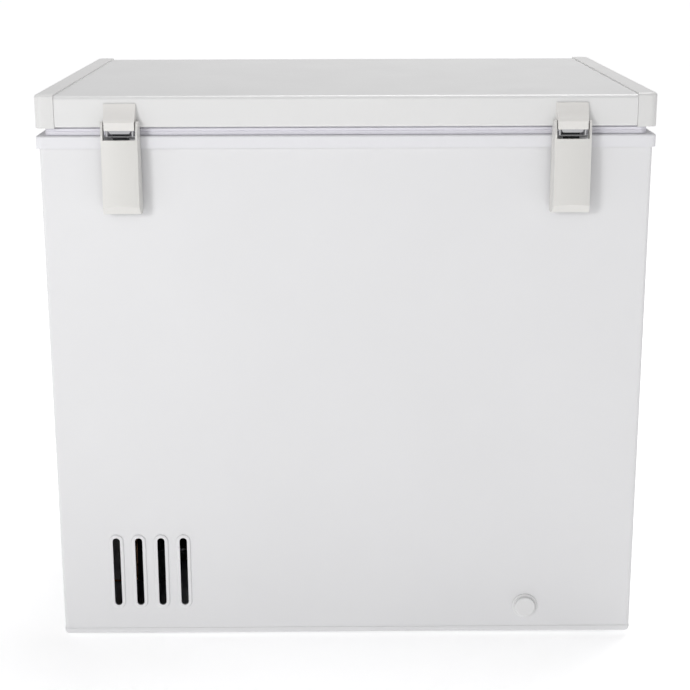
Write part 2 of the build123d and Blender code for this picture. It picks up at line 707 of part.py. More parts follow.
# Lid liner: formed sheet with a plug that reaches into the mouth of the storage space
with BuildPart() as lid_liner:
    with BuildSketch(Plane.XY.offset(PLUG_BOTTOM)):
        RectangleRounded(2 * PLUG_HALF_X, 2 * PLUG_HALF_Y, CAVITY_CORNER)
    extrude(amount=LID_BOTTOM + LID_LINER_T - PLUG_BOTTOM)
    fillet(lid_liner.edges().group_by(Axis.Z)[0], radius=3)
    slab(
        (-SKIN_HALF + 1, LID_FRONT + 16.5, LID_BOTTOM),
        (SKIN_HALF - 1, LID_REAR - 16.5, LID_BOTTOM + LID_LINER_T),
    )
    with BuildSketch(Plane.XY.offset(PLUG_BOTTOM + LID_LINER_T)):
        RectangleRounded(
            2 * (PLUG_HALF_X - LID_LINER_T),
            2 * (PLUG_HALF_Y - LID_LINER_T),
            CAVITY_CORNER - LID_LINER_T,
        )
    extrude(amount=80, mode=Mode.SUBTRACT)
save(lid_liner, "lid_liner")

# Lid foam
with BuildPart() as lid_foam:
    foam_under = LID_BOTTOM + LID_LINER_T
    slab(
        (-SKIN_HALF, LID_FRONT + LID_SKIN + 0.1, foam_under),
        (SKIN_HALF, LID_REAR - LID_SKIN - 0.1, LID_TOP - LID_SKIN - 0.1),
    )
    fillet(lid_foam.edges().filter_by(Axis.X).group_by(Axis.Z)[-1], radius=LID_EDGE - 0.9)
    with BuildSketch(Plane.XY.offset(PLUG_BOTTOM + LID_LINER_T)):
        RectangleRounded(
            2 * (PLUG_HALF_X - LID_LINER_T),
            2 * (PLUG_HALF_Y - LID_LINER_T),
            CAVITY_CORNER - LID_LINER_T,
        )
    extrude(amount=foam_under - PLUG_BOTTOM)
    cut_holes(hinge_lid_screw_places, (0, 1, 0), 2.1, 15)
save(lid_foam, "lid_foam")

# Gasket under the lid, hollow round its magnet
GASKET_HALF_X = COLLAR_HALF - 13.0
GASKET_FRONT = LID_FRONT + 10.0
GASKET_WIDTH = 22.0
GASKET_LOW = COLLAR_TOP + GAP


def frame_ring(inset, width, low, high):
    """Rectangular ring inside the outline of the gasket."""
    with BuildPart() as ring:
        with BuildSketch(Plane.XY.offset(low)):
            half_x, half_y = GASKET_HALF_X - inset, -GASKET_FRONT - inset
            RectangleRounded(2 * half_x, 2 * half_y, 8)
            RectangleRounded(2 * (half_x - width), 2 * (half_y - width), 6, mode=Mode.SUBTRACT)
        extrude(amount=high - low)
    return ring


magnet_hole = frame_ring(5.0, 12.0, GASKET_LOW + 1.5, GASKET_LOW + 5.5)
with BuildPart() as lid_gasket:
    add(frame_ring(0, GASKET_WIDTH, GASKET_LOW, CAP_BOTTOM).part)
    add(magnet_hole.part, mode=Mode.SUBTRACT)
save(lid_gasket, "lid_gasket")

gasket_magnet = frame_ring(5.3, 11.4, GASKET_LOW + 1.8, GASKET_LOW + 5.2)
save(gasket_magnet, "gasket_magnet")

# ---- hinges -------------------------------------------------------------------------------

LEAF_BACK_Y = HINGE_Y - 10.0
KNUCKLE = 10.0
LEAF_LOW, LEAF_CUT = 736.0, 820.0


def knuckle(x0, x1, bore, mode=Mode.ADD):
    """Hinge knuckle on the hinge axis between two places across the object."""
    rod((x0, HINGE_Y, HINGE_Z), HINGE_R, x1 - x0, (1, 0, 0), mode=mode)


def cabinet_leaf(x):
    """Leaf that is screwed to the back of the cabinet, with two outer knuckles."""
    shelf = COLLAR_BOTTOM - 9.8
    with BuildPart() as leaf:
        slab((x - 30, BODY_REAR, LEAF_LOW), (x + 30, BODY_REAR + LEAF_T, shelf + LEAF_T))
        slab((x - 30, BODY_REAR, shelf), (x + 30, LEAF_BACK_Y, shelf + LEAF_T))
        slab((x - 30, LEAF_BACK_Y - LEAF_T, shelf), (x + 30, LEAF_BACK_Y, LEAF_CUT))
        for x0 in (x - 30, x + 20):
            slab((x0, LEAF_BACK_Y - LEAF_T, shelf), (x0 + KNUCKLE, LEAF_BACK_Y, HINGE_Z))
            slab((x0, LEAF_BACK_Y - LEAF_T, HINGE_Z - 6), (x0 + KNUCKLE, HINGE_Y, HINGE_Z))
            rod((x0, HINGE_Y, HINGE_Z), HINGE_R, KNUCKLE, (1, 0, 0))
        rod((x - 40, HINGE_Y, HINGE_Z), PIN_R + 0.02, 80, (1, 0, 0), mode=Mode.SUBTRACT)
        slab((x - 20, LEAF_BACK_Y - 5, LEAF_CUT), (x + 20, HINGE_Y + 20, 860), mode=Mode.SUBTRACT)
        holes = [p for p in hinge_body_screw_places if abs(p[0] - x) < 30]
        cut_holes(holes, (0, 1, 0), 2.1, 9)
    return leaf


def lid_leaf(x):
    """Leaf that is screwed to the back of the lid, with two inner knuckles."""
    plate_z = HINGE_Z + 13.0
    with BuildPart() as leaf:
        slab((x - 30, LID_REAR, plate_z), (x + 30, LID_REAR + LEAF_T, LID_TOP - 5))
        slab((x - 30, LID_REAR, plate_z), (x + 30, HINGE_Y + 2, plate_z + LEAF_T))
        for x0 in (x - 19.7, x + 9.7):
            slab((x0, HINGE_Y - 2, HINGE_Z + 2), (x0 + KNUCKLE, HINGE_Y + 2, plate_z + 1))
            rod((x0, HINGE_Y, HINGE_Z), HINGE_R, KNUCKLE, (1, 0, 0))
        rod((x - 40, HINGE_Y, HINGE_Z), PIN_R + RUNNING, 80, (1, 0, 0), mode=Mode.SUBTRACT)
        holes = [p for p in hinge_lid_screw_places if abs(p[0] - x) < 30]
        cut_holes(holes, (0, 1, 0), 2.1, 9)
    return leaf


for side, label in ((-1, "left"), (1, "right")):
    body_half = cabinet_leaf(side * HINGE_X)
    save(body_half, f"hinge_cabinet_leaf_{label}")
    lid_half = lid_leaf(side * HINGE_X)
    save(lid_half, f"hinge_lid_leaf_{label}")

with BuildPart() as hinge_pins:
    for side in (-1, 1):
        x = side * HINGE_X
        rod((x - 30, HINGE_Y, HINGE_Z), PIN_R, 60, (1, 0, 0))
        rod((x - 32, HINGE_Y, HINGE_Z), PIN_R + 2, 2, (1, 0, 0))
        rod((x + 30, HINGE_Y, HINGE_Z), PIN_R + 2, 2, (1, 0, 0))
save(hinge_pins, "hinge_pins")

SPRING_WIRE = 1.2
SPRING_MEAN = 6.0
SPRING_HALF = 8.0


def hinge_spring(x):
    """Torsion coil round a hinge pin, between the inner knuckles."""
    start = (x - SPRING_HALF, HINGE_Y, HINGE_Z)
    with BuildPart() as spring:
        with BuildLine() as turns:
            Helix(
                pitch=3.2,
                height=2 * SPRING_HALF,
                radius=SPRING_MEAN,
                center=start,
                direction=(1, 0, 0),
            )
        with BuildSketch(turns.line ^ 0):
            Circle(SPRING_WIRE)
        sweep(path=turns.line, is_frenet=True)
    return spring


save(hinge_spring(-HINGE_X), "hinge_spring_left")
save(hinge_spring(HINGE_X), "hinge_spring_right")

hinge_body_screws = screws(hinge_body_screw_places, (0, 1, 0), 4.5, 2.4, 2.0, 10)
save(hinge_body_screws, "hinge_body_screws")
hinge_lid_screws = screws(hinge_lid_screw_places, (0, 1, 0), 4.5, 2.4, 2.0, 10)
save(hinge_lid_screws, "hinge_lid_screws")

# ---- latches ------------------------------------------------------------------------------

BASE_TOP = 874.0
BASE_LOW = 835.5
BASE_PROUD = 17.8
SIDE_IN, SIDE_OUT = 20.9, 24.0
ARM_IN, ARM_OUT = 24.4, 28.2
EAR_R = 6.4
LEVER_TOP_Z, LEVER_TOP_Y = 822.0, LID_FRONT - 21.0
LEVER_LOW_Z, LEVER_LOW_Y = 724.0, LID_FRONT - 25.0
LEVER_TIP_Z, LEVER_TIP_Y = 710.0, LID_FRONT - 14.0
LEVER_BACK_Y = LID_FRONT - 1.5
LEVER_WALL = 3.0
LEVER_CROWN = PROUD - 25.0
BAIL_LEG_IN, BAIL_LEG_OUT = 18.0, 20.4
BAIL_PIN_R = 1.2
PIVOT_PIN_R = 1.2
FACE_HALF = 27.3
SIDE_DRAFT = 0.1125


def latch_base(x):
    """Nose on the lid front that carries the lever on two stub pins."""
    with BuildPart() as base:
        with BuildSketch(across(x - SIDE_OUT)):
            with BuildLine():
                nose = [
                    (LID_FRONT, BASE_TOP),
                    (LID_FRONT, BASE_LOW),
                    (LID_FRONT - BASE_PROUD + 1.0, BASE_LOW),
                    (LID_FRONT - BASE_PROUD, BASE_LOW + 3),
                    (LID_FRONT - BASE_PROUD, BASE_LOW + 12),
                    (LID_FRONT - BASE_PROUD + 2.2, BASE_LOW + 16.5),
                ]
                Polyline(*nose)
                top_front = (LID_FRONT - 3.2, BASE_TOP - 2.5)
                ThreePointArc(nose[-1], (LID_FRONT - 7.6, BASE_LOW + 26.5), top_front)
                Polyline(top_front, (LID_FRONT - 2.4, BASE_TOP), nose[0])
            make_face()
        extrude(amount=2 * SIDE_OUT)
        draft = [
            (x - SIDE_OUT - 1, LID_FRONT + 1),
            (x + SIDE_OUT + 1, LID_FRONT + 1),
            (x + SIDE_OUT, LID_FRONT),
            (x + SIDE_OUT - 1.4, LID_FRONT - BASE_PROUD - 1),
            (x - SIDE_OUT + 1.4, LID_FRONT - BASE_PROUD - 1),
            (x - SIDE_OUT, LID_FRONT),
        ]
        with BuildSketch(Plane.XY.offset(BASE_LOW - 5)):
            outline(draft)
        extrude(amount=60, mode=Mode.INTERSECT)
        front_edges = base.faces().sort_by(Axis.Y)[0].edges().filter_by(Axis.Z)
        fillet(front_edges, radius=1.2)
        with BuildSketch(across(x - SIDE_IN)):
            outline(
                [
                    (LID_FRONT + 1, BASE_LOW - 1),
                    (LID_FRONT - BASE_PROUD + 2.5, BASE_LOW - 1),
                    (LID_FRONT - BASE_PROUD + 2.5, BASE_LOW + 11),
                    (LID_FRONT - BASE_PROUD + 4.6, BASE_LOW + 16.0),
                    (LID_FRONT - BASE_PROUD + 9.0, BASE_LOW + 22.0),
                    (LID_FRONT + 1, BASE_LOW + 22.0),
                ]
            )
        extrude(amount=2 * SIDE_IN, mode=Mode.SUBTRACT)
        orbit = hypot(BAIL_PIN_Y - PIVOT_Y, BAIL_PIN_Z - PIVOT_Z)
        slot_half = BAIL_PIN_R + 0.5
        with BuildSketch(across(x - SIDE_OUT - 1)):
            with Locations((PIVOT_Y, PIVOT_Z)):
                Circle(orbit + slot_half)
                Circle(orbit - slot_half, mode=Mode.SUBTRACT)
            outline_wedge = [(PIVOT_Y, PIVOT_Z)]
            for angle in (125, 95, 60, 30, 0, -30):
                turn = radians(90 - angle)
                outline_wedge.append((PIVOT_Y + 20 * cos(turn), PIVOT_Z + 20 * sin(turn)))
            Polygon(*outline_wedge, align=None, mode=Mode.INTERSECT)
        extrude(amount=2 * SIDE_OUT + 2, mode=Mode.SUBTRACT)
        rod((x - 40, PIVOT_Y, PIVOT_Z), PIVOT_PIN_R + 0.02, 80, (1, 0, 0), mode=Mode.SUBTRACT)
    return base


def latch_lever(x):
    """Hollow lever with two arms that reach up past the nose to the pivot pins."""
    slope = Vector(0, LEVER_LOW_Y - LEVER_TOP_Y, LEVER_LOW_Z - LEVER_TOP_Z).normalized()
    plan_depth = 45.0
    root_half = FACE_HALF + SIDE_DRAFT * plan_depth
    with BuildPart() as lever:
        with BuildSketch(across(x - root_half)):
            outline(
                [
                    (LEVER_BACK_Y, PIVOT_Z - 12),
                    (LEVER_BACK_Y, LEVER_TIP_Z + 4),
                    (LEVER_BACK_Y - 3, LEVER_TIP_Z),
                    (LEVER_TIP_Y, LEVER_TIP_Z),
                    (LEVER_LOW_Y - LEVER_CROWN, LEVER_LOW_Z),
                    (LEVER_TOP_Y - LEVER_CROWN, LEVER_TOP_Z),
                    (PIVOT_Y - EAR_R, PIVOT_Z),
                    (PIVOT_Y + EAR_R, PIVOT_Z),
                ]
            )
            with Locations((PIVOT_Y, PIVOT_Z)):
                Circle(EAR_R)
        extrude(amount=2 * root_half)
        top = Vector(x, LEVER_TOP_Y, LEVER_TOP_Z) - slope * 45
        plan = Plane(origin=top, x_dir=(1, 0, 0), z_dir=slope)
        with BuildSketch(plan):
            with BuildLine():
                Polyline(
                    (-FACE_HALF, 0),
                    (-root_half, -plan_depth),
                    (root_half, -plan_depth),
                    (FACE_HALF, 0),
                )
                ThreePointArc((FACE_HALF, 0), (0, LEVER_CROWN), (-FACE_HALF, 0))
            make_face()
            fillet(vertices().filter_by(lambda v: abs(v.Z - top.Z) < 1.0), radius=3.0)
        extrude(amount=170, mode=Mode.INTERSECT)
        with BuildSketch(across(x - ARM_IN)):
            outline(
                [
                    (LID_FRONT + 10, LEVER_TIP_Z - 10),
                    (LEVER_TIP_Y + 3.5, LEVER_TIP_Z - 10),
                    (LEVER_TIP_Y + 3.5, LEVER_TIP_Z + 1.5),
                    (LEVER_LOW_Y + LEVER_WALL, LEVER_LOW_Z + 1),
                    (LEVER_TOP_Y + LEVER_WALL, LEVER_TOP_Z),
                    (LEVER_TOP_Y - 20, LEVER_TOP_Z),
                    (LEVER_TOP_Y - 20, PIVOT_Z + 20),
                    (LID_FRONT + 10, PIVOT_Z + 20),
                ]
            )
        extrude(amount=2 * ARM_IN, mode=Mode.SUBTRACT)
        rod((x - 40, PIVOT_Y, PIVOT_Z), PIVOT_PIN_R + RUNNING, 80, (1, 0, 0), mode=Mode.SUBTRACT)
        rod(
            (x - 40, BAIL_PIN_Y, BAIL_PIN_Z),
            BAIL_PIN_R + 0.02,
            80,
            (1, 0, 0),
            mode=Mode.SUBTRACT,
        )
    return lever


def latch_bail(x):
    """Stamped steel link: two legs with eyes, a web and the bar that takes the pull."""
    with BuildPart() as bail:
        for x0 in (x - BAIL_LEG_OUT, x + BAIL_LEG_IN):
            leg = BAIL_LEG_OUT - BAIL_LEG_IN
            rod((x0, BAIL_PIN_Y, BAIL_PIN_Z), 3.0, leg, (1, 0, 0))
            slab(
                (x0, BAIL_PIN_Y - 1.5, BAR_Z),
                (x0 + leg, BAIL_PIN_Y + 1.5, BAIL_PIN_Z),
            )
        rod((x - BAIL_LEG_OUT, BAIL_PIN_Y, BAR_Z), 1.6, 2 * BAIL_LEG_OUT, (1, 0, 0))
        with BuildSketch(facing_front(BAIL_PIN_Y + 0.6)):
            outline(
                [
                    (x - BAIL_LEG_IN - 0.5, BAR_Z + 10.5),
                    (x - 14, BAR_Z + 4.2),
                    (x + 14, BAR_Z + 4.2),
                    (x + BAIL_LEG_IN + 0.5, BAR_Z + 10.5),
                ]
            )
        extrude(amount=1.2)
        rod(
            (x - 40, BAIL_PIN_Y, BAIL_PIN_Z),
            BAIL_PIN_R + RUNNING,
            80,
            (1, 0, 0),
            mode=Mode.SUBTRACT,
        )
    return bail


def latch_catch(x):
    """Steel catch on the cabinet, whose lip stops just short of the bail bar."""
    collar_clear = COLLAR_FRONT - GAP
    lip_reach = BAIL_PIN_Y + 1.6 + 0.4
    with BuildPart() as catch:
        slab((x - 16, BODY_FRONT - CATCH_T, 758), (x + 16, BODY_FRONT, 802))
        slab((x - 16, collar_clear - CATCH_T, 800), (x + 16, BODY_FRONT, 802))
        slab((x - 12, collar_clear - CATCH_T, 800), (x + 12, collar_clear, BAR_Z + 5))
        slab((x - 12, lip_reach, BAR_Z + 3), (x + 12, collar_clear, BAR_Z + 5))
        holes = [p for p in catch_screw_places if abs(p[0] - x) < 20]
        cut_holes(holes, (0, 1, 0), 2.1, 5)
    return catch


for side, label in ((-1, "left"), (1, "right")):
    x = side * LATCH_X
    save(latch_base(x), f"latch_base_{label}")
    save(latch_lever(x), f"latch_lever_{label}")
    save(latch_bail(x), f"latch_bail_{label}")
    save(latch_catch(x), f"latch_catch_{label}")
    with BuildPart() as bail_pin:
        rod((x - ARM_OUT, BAIL_PIN_Y, BAIL_PIN_Z), BAIL_PIN_R, 2 * ARM_OUT, (1, 0, 0))
    save(bail_pin, f"latch_bail_pin_{label}")

with BuildPart() as latch_pivot_pins:
    for side in (-1, 1):
        for start in (-ARM_OUT, SIDE_IN):
            place = (side * LATCH_X + start, PIVOT_Y, PIVOT_Z)
            rod(place, PIVOT_PIN_R, ARM_OUT - SIDE_IN, (1, 0, 0))
save(latch_pivot_pins, "latch_pivot_pins")

catch_screws = screws(catch_screw_places, (0, -1, 0), 3.8, 2.0, 2.0, 10)
save(catch_screws, "catch_screws")

# ---- basket -------------------------------------------------------------------------------

# Envelope of the wire basket, which hangs from the ledge by its two long rims
BASKET_LEFT, BASKET_RIGHT = -347.0, -87.0
BASKET_HALF_Y = 214.0
BASKET_LOW, BASKET_HIGH = 590.0, 784.0
BASKET_WALL = 3.0
with BuildPart() as basket:
    slab(
        (BASKET_LEFT, -BASKET_HALF_Y, BASKET_LOW),
        (BASKET_RIGHT, BASKET_HALF_Y, BASKET_HIGH),
    )
    fillet(basket.edges().filter_by(Axis.Z), radius=CAVITY_CORNER)
    offset(amount=-BASKET_WALL, openings=[basket.faces().sort_by(Axis.Z)[-1]])
    hook_half = CAVITY_HALF_Y + LEDGE - 3.0
    for side in (-1, 1):
        near, far = side * (BASKET_HALF_Y - 1), side * hook_half
        slab(
            (BASKET_LEFT + 45, min(near, far), LEDGE_Z + GAP),
            (BASKET_RIGHT - 45, max(near, far), LEDGE_Z + GAP + BASKET_WALL),
        )
save(basket, "basket")
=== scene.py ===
import json
import math
import bmesh
import bpy
from mathutils import Matrix, Vector
from mathutils.geometry import tessellate_polygon


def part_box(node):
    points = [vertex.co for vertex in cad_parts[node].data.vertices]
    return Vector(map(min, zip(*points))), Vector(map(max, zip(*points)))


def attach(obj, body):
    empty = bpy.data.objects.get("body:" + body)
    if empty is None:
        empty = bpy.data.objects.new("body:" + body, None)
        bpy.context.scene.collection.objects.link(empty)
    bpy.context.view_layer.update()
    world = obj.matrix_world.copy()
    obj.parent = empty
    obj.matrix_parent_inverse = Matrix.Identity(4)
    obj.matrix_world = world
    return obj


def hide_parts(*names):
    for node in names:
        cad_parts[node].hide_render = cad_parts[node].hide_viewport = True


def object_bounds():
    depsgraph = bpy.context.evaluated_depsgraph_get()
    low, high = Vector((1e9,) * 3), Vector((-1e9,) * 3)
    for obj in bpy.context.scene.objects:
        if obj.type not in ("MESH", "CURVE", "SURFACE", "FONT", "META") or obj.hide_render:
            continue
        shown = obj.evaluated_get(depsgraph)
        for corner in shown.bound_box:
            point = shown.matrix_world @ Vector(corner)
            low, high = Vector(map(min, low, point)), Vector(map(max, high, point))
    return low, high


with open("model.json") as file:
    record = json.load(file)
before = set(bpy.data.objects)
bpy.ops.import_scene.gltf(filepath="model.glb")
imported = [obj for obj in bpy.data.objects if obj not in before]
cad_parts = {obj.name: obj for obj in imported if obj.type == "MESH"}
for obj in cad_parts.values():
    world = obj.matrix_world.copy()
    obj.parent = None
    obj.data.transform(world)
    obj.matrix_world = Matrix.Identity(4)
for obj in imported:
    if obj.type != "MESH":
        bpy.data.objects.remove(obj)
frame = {"nodes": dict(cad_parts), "record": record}
CAD_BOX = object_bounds()
NODES = frame["nodes"]
RECORD = frame["record"]
SLOT_OF = {s["node"]: s["material_slot"] for s in RECORD["subparts"]}
MM = 0.001

# ---------------------------------------------------------------- materials

# Nearly all of a noise texture's values lie between these.
NOISE_LOW, NOISE_HIGH = 0.3, 0.7


class Finish:
    """A node-built surface whose colour, gloss and relief vary over the piece."""

    def __init__(self, name, metallic=0.0, ior=1.5, coat=0.0, coat_rough=0.1):
        self.mat = bpy.data.materials.new(name)
        self.mat.use_nodes = True
        self.tree = self.mat.node_tree
        self.shader = self.tree.nodes["Principled BSDF"]
        self.shader.inputs["Metallic"].default_value = metallic
        self.shader.inputs["IOR"].default_value = ior
        self.shader.inputs["Coat Weight"].default_value = coat
        self.shader.inputs["Coat Roughness"].default_value = coat_rough
        self.coord = self.node("ShaderNodeTexCoord").outputs["Object"]

    def node(self, kind, **values):
        n = self.tree.nodes.new(kind)
        for key, value in values.items():
            setattr(n, key, value)
        return n

    def link(self, a, b):
        self.tree.links.new(a, b)

    def noise(self, scale, detail=3.0, stretch=(1, 1, 1)):
        place = self.node("ShaderNodeMapping")
        place.inputs["Scale"].default_value = stretch
        self.link(self.coord, place.inputs["Vector"])
        n = self.node("ShaderNodeTexNoise")
        n.inputs["Scale"].default_value = scale
        n.inputs["Detail"].default_value = detail
        self.link(place.outputs["Vector"], n.inputs["Vector"])
        return n.outputs["Fac"]

    def colour(self, source, dark, light):
        ramp = self.node("ShaderNodeValToRGB")
        for stop, at, rgb in zip(ramp.color_ramp.elements, (NOISE_LOW, NOISE_HIGH),
                                 (dark, light)):
            stop.position = at
            stop.color = (*rgb, 1)
        self.link(source, ramp.inputs["Fac"])
        self.link(ramp.outputs["Color"], self.shader.inputs["Base Color"])
        return self

    def gloss(self, source, low, high):
        spread = self.node("ShaderNodeMapRange")
        spread.inputs["From Min"].default_value = NOISE_LOW
        spread.inputs["From Max"].default_value = NOISE_HIGH
        spread.inputs["To Min"].default_value = low
        spread.inputs["To Max"].default_value = high
        self.link(source, spread.inputs["Value"])
        self.link(spread.outputs["Result"], self.shader.inputs["Roughness"])
        return self

    def relief(self, source, depth, strength=1.0):
        bump = self.node("ShaderNodeBump")
        bump.inputs["Distance"].default_value = depth
        bump.inputs["Strength"].default_value = strength
        self.link(source, bump.inputs["Height"])
        self.link(bump.outputs["Normal"], self.shader.inputs["Normal"])
        return self


def tint(rgb, k):
    """The colour made k times as bright."""
    return tuple(min(1.0, c * k) for c in rgb)


def coated(name, rgb, rough=(0.3, 0.36), vary=0.008, grain=900, depth=0.00002, **more):
    """Paint, powder coat or moulded plastic: nearly one colour, with a fine grain."""
    f = Finish(name, **more)
    f.colour(f.noise(5, 2), tint(rgb, 1 - vary), tint(rgb, 1 + vary))
    f.gloss(f.noise(14, 3), *rough)
    f.relief(f.noise(grain, 1), depth, 0.25)
    return f.mat


def metal(name, rgb, rough, stretch=(1, 1, 1), vary=0.06, grain=260, depth=0.00002):
    """Bare or plated metal, with a grain drawn out along one direction."""
    f = Finish(name, metallic=1.0)
    f.colour(f.noise(30, 4, stretch), tint(rgb, 1 - vary), tint(rgb, 1 + vary))
    f.gloss(f.noise(45, 4, stretch), *rough)
    f.relief(f.noise(grain, 3, stretch), depth, 0.3)
    return f.mat


def stucco(name, rgb):
    """Embossed aluminium sheet: an orange-peel pattern of cells about 5 mm wide."""
    f = Finish(name, metallic=0.85)
    f.colour(f.noise(12, 3), tint(rgb, 0.93), tint(rgb, 1.05))
    f.gloss(f.noise(30, 2), 0.34, 0.46)
    cell = f.node("ShaderNodeTexVoronoi")
    cell.feature = "SMOOTH_F1"
    cell.inputs["Scale"].default_value = 220
    f.link(f.coord, cell.inputs["Vector"])
    f.relief(cell.outputs["Distance"], 0.0005, 0.6)
    return f.mat


def foam(name, rgb):
    """Rigid foam: matt, pitted and uneven in colour."""
    f = Finish(name, ior=1.3)
    f.colour(f.noise(60, 5), tint(rgb, 0.82), tint(rgb, 1.08))
    f.gloss(f.noise(80, 3), 0.8, 0.95)
    f.relief(f.noise(400, 4), 0.0006, 0.7)
    return f.mat


MATERIALS = {
    "white_steel": coated("white_steel", (0.715, 0.715, 0.722), (0.34, 0.40), coat=0.15),
    "lid_steel": coated("lid_steel", (0.70, 0.70, 0.695), (0.32, 0.38), coat=0.15),
    "cap_plastic": coated("cap_plastic", (0.675, 0.673, 0.665), (0.30, 0.36), grain=1400),
    "collar_plastic": coated("collar_plastic", (0.72, 0.72, 0.74), (0.36, 0.44)),
    "latch_plastic": coated("latch_plastic", (0.66, 0.652, 0.628), (0.28, 0.35), grain=1600),
    # Chrome is given a darker colour than bare chrome: partly painted shade standing in for
    # the shadow inside the latch windows.
    "chrome_steel": metal("chrome_steel", (0.44, 0.44, 0.45), (0.10, 0.17), vary=0.03),
    # The catches are near-black steel; this darkness partly serves as painted shade for the
    # shadowed inside of the latch windows.
    "dark_steel": metal("dark_steel", (0.10, 0.10, 0.105), (0.22, 0.34), vary=0.1),
    "zinc_steel": metal("zinc_steel", (0.60, 0.61, 0.62), (0.30, 0.44), (1, 1, 6)),
    "liner_aluminium": stucco("liner_aluminium", (0.80, 0.81, 0.82)),
    "foam": foam("foam", (0.83, 0.75, 0.50)),
    "gasket_vinyl": coated("gasket_vinyl", (0.71, 0.70, 0.75), (0.42, 0.52), grain=700),
    "magnet": coated("magnet", (0.10, 0.09, 0.08), (0.6, 0.7), vary=0.12),
    "black_enamel": coated("black_enamel", (0.020, 0.020, 0.021), (0.20, 0.30), vary=0.15,
                           coat=0.3),
    "copper": metal("copper", (0.72, 0.40, 0.25), (0.22, 0.38), vary=0.12),
    "black_plastic": coated("black_plastic", (0.030, 0.030, 0.032), (0.42, 0.55), vary=0.2),
    "rubber": coated("rubber", (0.040, 0.040, 0.040), (0.6, 0.75), vary=0.15, grain=500),
    "lid_liner_plastic": coated("lid_liner_plastic", (0.80, 0.80, 0.795), (0.30, 0.33),
                                vary=0.006),
    "drain_plastic": coated("drain_plastic", (0.72, 0.72, 0.72), (0.32, 0.40), grain=1400),
    "basket_wire": coated("basket_wire", (0.80, 0.80, 0.80), (0.26, 0.36), coat=0.3),
    "grille_steel": coated("grille_steel", (0.62, 0.63, 0.645), (0.42, 0.52)),
}

# The noses catch less light than the levers, so their plastic is painted paler than the same
# plastic on the levers: painted light that lifts them to the levers' brightness.
NOSE_PAINTED_LIGHT = coated("nose_plastic_painted_light", (0.725, 0.712, 0.688), (0.28, 0.35), grain=1600)

for node_name, node in NODES.items():
    is_nose = node_name.startswith("latch_base")
    # The noses take the copy of the latch plastic that is painted paler to stand in for
    # light.
    finish = NOSE_PAINTED_LIGHT if is_nose else MATERIALS[SLOT_OF[node_name]]
    if not node.material_slots:
        node.data.materials.append(finish)
    for holder in node.material_slots:
        holder.link = "OBJECT"
        holder.material = finish

# ---------------------------------------------------------------- mesh tools

CREASE = math.radians(32)        # edges sharper than this stay sharp
ARC_STEPS = 5                    # chords in each rounded corner of a wire


def piece(name, verts, faces, body, slot, replaced=()):
    """A mesh object that rides a CAD body and takes a slot's finish."""
    mesh = bpy.data.meshes.new(name)
    mesh.from_pydata([tuple(v) for v in verts], [], faces)
    work = bmesh.new()
    work.from_mesh(mesh)
    bmesh.ops.recalc_face_normals(work, faces=work.faces)
    for face in work.faces:
        face.smooth = True
    for edge in work.edges:
        if len(edge.link_faces) == 2:
            edge.smooth = edge.calc_face_angle(0) < CREASE
    work.to_mesh(mesh)
    work.free()
    obj = bpy.data.objects.new(name, mesh)
    bpy.context.scene.collection.objects.link(obj)
    mesh.materials.append(MATERIALS[slot])
    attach(obj, body)
    if replaced:
        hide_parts(*replaced)
    return obj


class Build:
    """Vertices and faces of one piece, gathered from several shapes."""

    def __init__(self):
        self.verts, self.faces = [], []

    def add(self, verts, faces):
        start = len(self.verts)
        self.verts += [Vector(v) for v in verts]
        self.faces += [tuple(start + i for i in f) for f in faces]

    def loft(self, rings, closed=False, capped=True):
        """Quads between equal rings; closed joins the last ring to the first."""
        n, m = len(rings[0]), len(rings)
        verts = [v for ring in rings for v in ring]
        faces = []
        for a in range(m if closed else m - 1):
            b = (a + 1) % m
            faces += [(a * n + i, a * n + (i + 1) % n, b * n + (i + 1) % n, b * n + i)
                      for i in range(n)]
        if capped and not closed:
            faces += [tuple(reversed(range(n))), tuple((m - 1) * n + i for i in range(n))]
        self.add(verts, faces)

    def wire(self, corners, radius, bend=0.0, closed=False, sides=10):
        """A round wire along straight runs with rounded corners."""
        path = rounded(corners, bend, closed)
        self.loft(tube_rings(path, radius, closed, sides), closed)


def rounded(corners, bend, closed):
    """The corners of a path, each replaced by an arc of radius bend."""
    pts = [Vector(c) for c in corners]
    n, out = len(pts), []
    for i, p in enumerate(pts):
        if not closed and i in (0, n - 1):
            out.append(p)
            continue
        to_a, to_b = (pts[i - 1] - p), (pts[(i + 1) % n] - p)
        turn = math.pi - to_a.angle(to_b)
        if bend <= 0 or turn < 1e-3:
            out.append(p)
            continue
        longest = 0.45 * min(to_a.length, to_b.length)    # leaves room for the next bend
        reach = min(bend * math.tan(turn / 2), longest)
        r = reach / math.tan(turn / 2)
        a, b = to_a.normalized(), to_b.normalized()
        centre = p + (a + b).normalized() * (r / math.cos(turn / 2))
        start, end = p + a * reach - centre, p + b * reach - centre
        axis = start.cross(end)
        for k in range(ARC_STEPS + 1):
            out.append(centre + Matrix.Rotation(turn * k / ARC_STEPS, 3, axis) @ start)
    return out


def tube_rings(path, radius, closed, sides):
    """A ring of points round each point of a path, carried along without twist."""
    n, rings, up = len(path), [], None
    for i, p in enumerate(path):
        before = path[i - 1] if (closed or i) else p
        after = path[(i + 1) % n] if (closed or i < n - 1) else p
        along = (after - before).normalized()
        if up is None:
            up = along.orthogonal().normalized()
        up = (up - along * up.dot(along)).normalized()
        side = along.cross(up)
        rings.append([p + radius * (math.cos(t) * up + math.sin(t) * side)
                      for t in (2 * math.pi * k / sides for k in range(sides))])
    return rings


def frame_loop(half_x, half_y, corner, centre, z, steps=8):
    """Points round a rectangle with rounded corners, at one height."""
    cx, cy = centre
    out = []
    for k, (sx, sy) in enumerate(((1, 1), (-1, 1), (-1, -1), (1, -1))):
        for j in range(steps + 1):
            t = math.pi / 2 * (k + j / steps)
            out.append(Vector((cx + sx * (half_x - corner) + corner * math.cos(t),
                               cy + sy * (half_y - corner) + corner * math.sin(t), z)))
    return out


